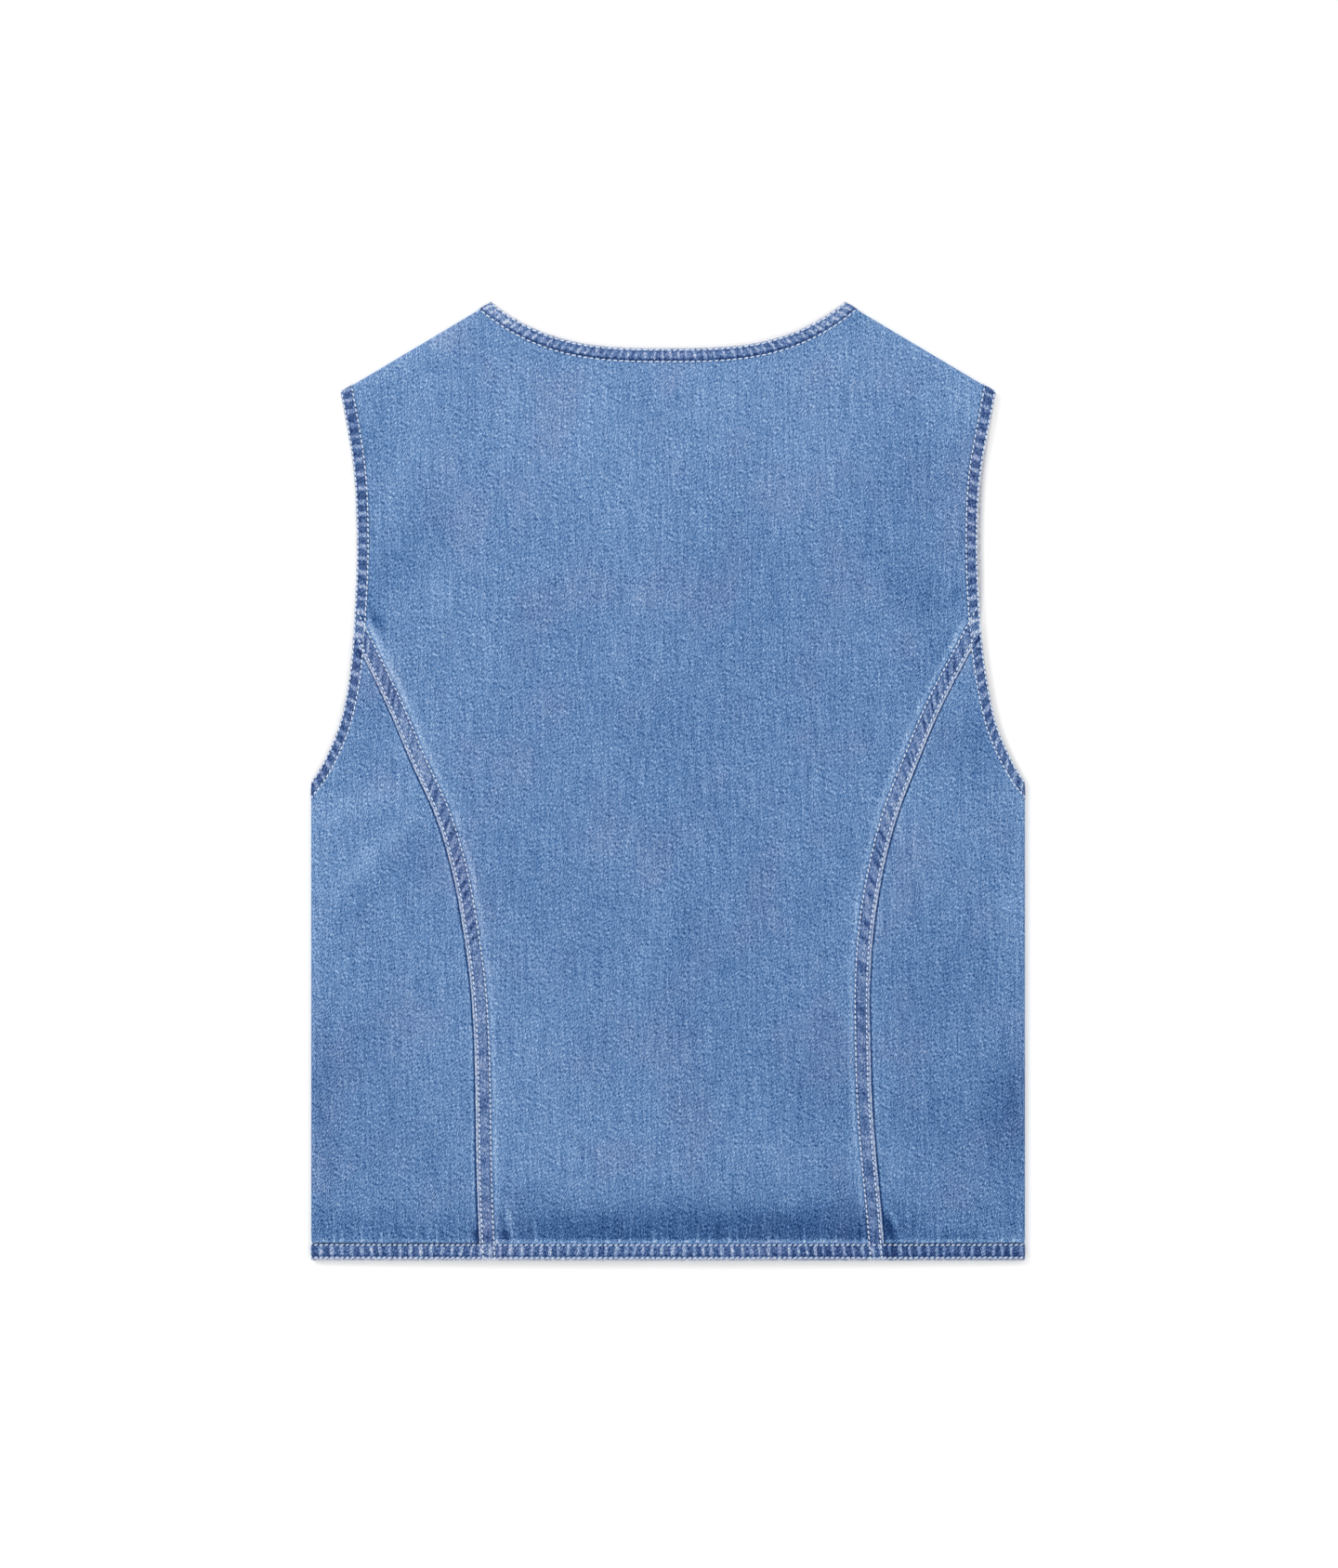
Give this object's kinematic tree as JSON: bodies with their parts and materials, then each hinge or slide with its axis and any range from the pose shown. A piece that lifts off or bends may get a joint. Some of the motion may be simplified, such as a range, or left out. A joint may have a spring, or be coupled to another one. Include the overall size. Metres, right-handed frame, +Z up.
{
  "type": "denim vest",
  "caption": "Sleeveless denim vest laid flat with its back up: curved felled back seams, turned stitched hems, and a buttoned front underneath.",
  "frame": {"origin": "under the middle of the laid vest, on the surface that it lies on", "axes": "+Y towards the neck, +X towards the wearer's right, +Z up, out of the back"},
  "size_m": [0.47, 0.6311, 0.0063],
  "materials": {
    "denim": "washed mid-blue twill, matt",
    "hem_denim": "turned and pressed twill, worn pale along its edges",
    "thread": "off-white spun sewing thread",
    "button_metal": "dull stamped metal"
  },
  "bodies": {
    "root": {"back_centre": "denim", "side_back_left": "denim", "side_back_right": "denim", "front_left": "denim", "front_right": "denim", "placket_left": "denim", "placket_right": "denim", "fell_seam_left": "hem_denim", "fell_seam_right": "hem_denim", "hem_back": "hem_denim", "hem_front_left": "hem_denim", "hem_front_right": "hem_denim", "neck_hem_back": "hem_denim", "neck_hem_front_left": "hem_denim", "neck_hem_front_right": "hem_denim", "armhole_hem_left": "hem_denim", "armhole_hem_right": "hem_denim", "button_1": "button_metal", "button_2": "button_metal", "button_3": "button_metal", "button_4": "button_metal", "button_5": "button_metal", "button_6": "button_metal"}
  },
  "joints": []
}
